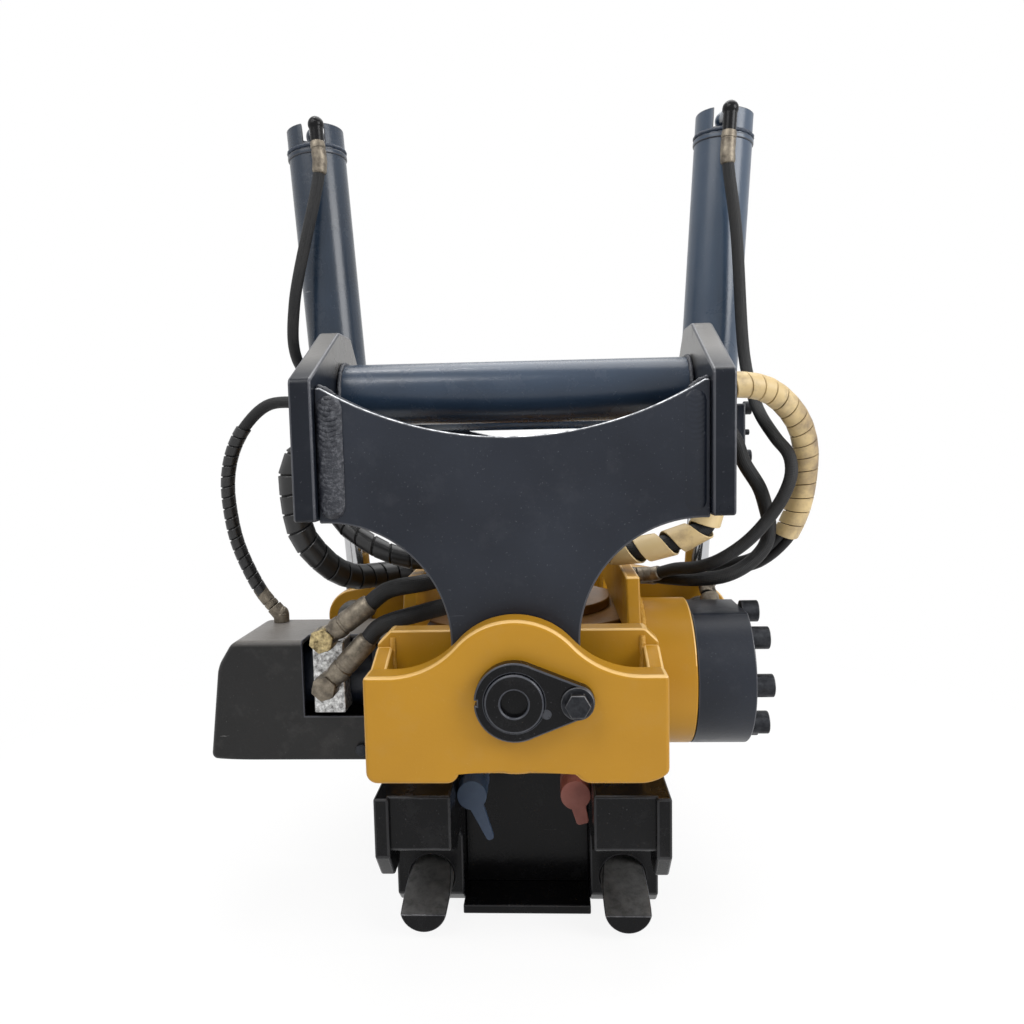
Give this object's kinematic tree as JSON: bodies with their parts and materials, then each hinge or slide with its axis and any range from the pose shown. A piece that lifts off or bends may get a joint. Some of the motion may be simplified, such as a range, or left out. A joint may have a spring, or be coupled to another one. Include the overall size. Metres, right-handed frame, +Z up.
{
  "type": "excavator tilt rotator",
  "caption": "Tilt rotator for a compact excavator: two-bar top hitch tilting over a worm driven rotor housing, with trunnion tilt cylinders and a locking quick hitch below",
  "frame": {"origin": "on the rotation axis, in the plane that the quick hitch stands on", "axes": "+Z up along the rotation axis, -Y towards the locking wedges and the front of the picture, +X towards the end cap of the worm drive"},
  "size_m": [0.6828, 0.7996, 0.9157],
  "materials": {
    "black_paint": "satin black paint over cast and flame-cut steel",
    "yellow_paint": "mustard yellow paint over welded plate",
    "bare_steel": "bare or zinc plated steel",
    "black_steel": "black oxide fasteners and pins",
    "hard_chrome": "hard chrome plated rod",
    "bronze": "bronze bearing bush",
    "red_plastic": "soft plastic dust cap",
    "blue_plastic": "soft plastic dust cap",
    "black_rubber": "black hydraulic hose and spiral wrap",
    "yellow_wrap": "pale yellow spiral wrap on hoses"
  },
  "bodies": {
    "quick_hitch": {"hitch_flange": "black_paint", "cheek_left": "black_paint", "cheek_right": "black_paint", "hitch_floor": "black_paint", "hitch_walls": "black_paint", "lock_barrel": "black_paint", "couplers": "bare_steel", "worm_wheel": "bare_steel"},
    "lock_slide": {"lock_yoke": "bare_steel", "lock_wedges": "bare_steel", "lock_rod": "hard_chrome"},
    "red_cap": {"red_cap": "red_plastic"},
    "blue_cap": {"blue_cap": "blue_plastic"},
    "housing": {"gear_case": "yellow_paint", "case_cover": "yellow_paint", "housing_bolts": "black_steel", "slew_bushes": "bronze", "fork_plate_front": "yellow_paint", "fork_plate_rear": "yellow_paint", "cross_walls": "yellow_paint", "fork_gussets": "yellow_paint", "side_rails": "yellow_paint", "cylinder_ears": "yellow_paint", "ear_pins": "bare_steel", "tilt_pins": "black_steel", "lock_plates": "black_paint", "lock_bolts": "black_steel", "end_cap": "black_paint", "worm_bearings": "bare_steel", "drive_motor": "black_paint", "port_block": "bare_steel", "port_elbows": "bare_steel", "motor_guard": "black_paint", "swivel_body": "black_paint", "hose_motor_upper": "black_rubber", "hose_motor_lower": "black_rubber"},
    "worm": {"worm_shaft": "bare_steel"},
    "top_hitch": {"side_plate_left": "black_paint", "side_plate_right": "black_paint", "lug_plate_front": "black_paint", "lug_plate_rear": "black_paint", "hitch_bars": "black_paint", "tilt_bushes": "bronze", "trunnion_blocks": "black_paint", "trunnion_bolts": "black_steel", "hose_fittings": "bare_steel", "hose_cylinder_left": "black_rubber", "hose_cylinder_right": "black_rubber", "hose_loop_left": "black_rubber", "hose_bundle_left": "black_rubber", "hose_tilt_left": "black_rubber", "hose_bundle_right": "yellow_wrap", "hose_inner_right": "black_rubber", "hose_tilt_right": "yellow_wrap"},
    "barrel_left": {"barrel_left": "black_paint", "gland_left": "black_paint"},
    "barrel_right": {"barrel_right": "black_paint", "gland_right": "black_paint"},
    "rod_left": {"rod_left": "hard_chrome"},
    "rod_right": {"rod_right": "hard_chrome"}
  },
  "joints": [
    {"name": "rotate", "type": "hinge", "parent": "quick_hitch", "child": "housing", "pos_m": [0, 0, 0.2], "axis": [0, 0, 1], "continuous": true},
    {"name": "worm_spin", "type": "hinge", "parent": "housing", "child": "worm", "pos_m": [0, -0.145, 0.258], "axis": [1, 0, 0], "continuous": true},
    {"name": "tilt", "type": "hinge", "parent": "housing", "child": "top_hitch", "pos_m": [0, 0, 0.3], "axis": [0, -1, 0], "range_deg": [-30, 30], "deforming": ["hose_cylinder_right", "hose_loop_left", "hose_bundle_left", "hose_tilt_left", "hose_bundle_right", "hose_inner_right", "hose_tilt_right"]},
    {"name": "swing_left", "type": "hinge", "parent": "top_hitch", "child": "barrel_left", "pos_m": [-0.231, 0, 0.522], "axis": [0, -1, 0], "range_deg": [-2.2, 2.2], "deforming": ["hose_cylinder_left"]},
    {"name": "swing_right", "type": "hinge", "parent": "top_hitch", "child": "barrel_right", "pos_m": [0.231, 0, 0.522], "axis": [0, -1, 0], "range_deg": [-2.2, 2.2]},
    {"name": "rod_slide_left", "type": "slide", "parent": "barrel_left", "child": "rod_left", "axis": [0.0629, 0, -0.998], "range_m": [-0.112, 0.112]},
    {"name": "rod_slide_right", "type": "slide", "parent": "barrel_right", "child": "rod_right", "axis": [-0.0629, 0, -0.998], "range_m": [-0.112, 0.112]},
    {"name": "lock", "type": "slide", "parent": "quick_hitch", "child": "lock_slide", "axis": [0, 1, 0], "range_m": [0, 0.065]},
    {"name": "red_cap_off", "type": "slide", "parent": "quick_hitch", "child": "red_cap", "axis": [0, -1, 0], "range_m": [0, 0.03]},
    {"name": "blue_cap_off", "type": "slide", "parent": "quick_hitch", "child": "blue_cap", "axis": [0, -1, 0], "range_m": [0, 0.03]}
  ],
  "couplings": [
    {"joint": "worm_spin", "follows": "rotate", "ratio": 40},
    {"joint": "swing_left", "follows": "tilt", "ratio": 0.06},
    {"joint": "swing_right", "follows": "tilt", "ratio": 0.06},
    {"joint": "rod_slide_right", "follows": "tilt", "m_per_rad": 0.208},
    {"joint": "rod_slide_left", "follows": "tilt", "m_per_rad": -0.208}
  ]
}
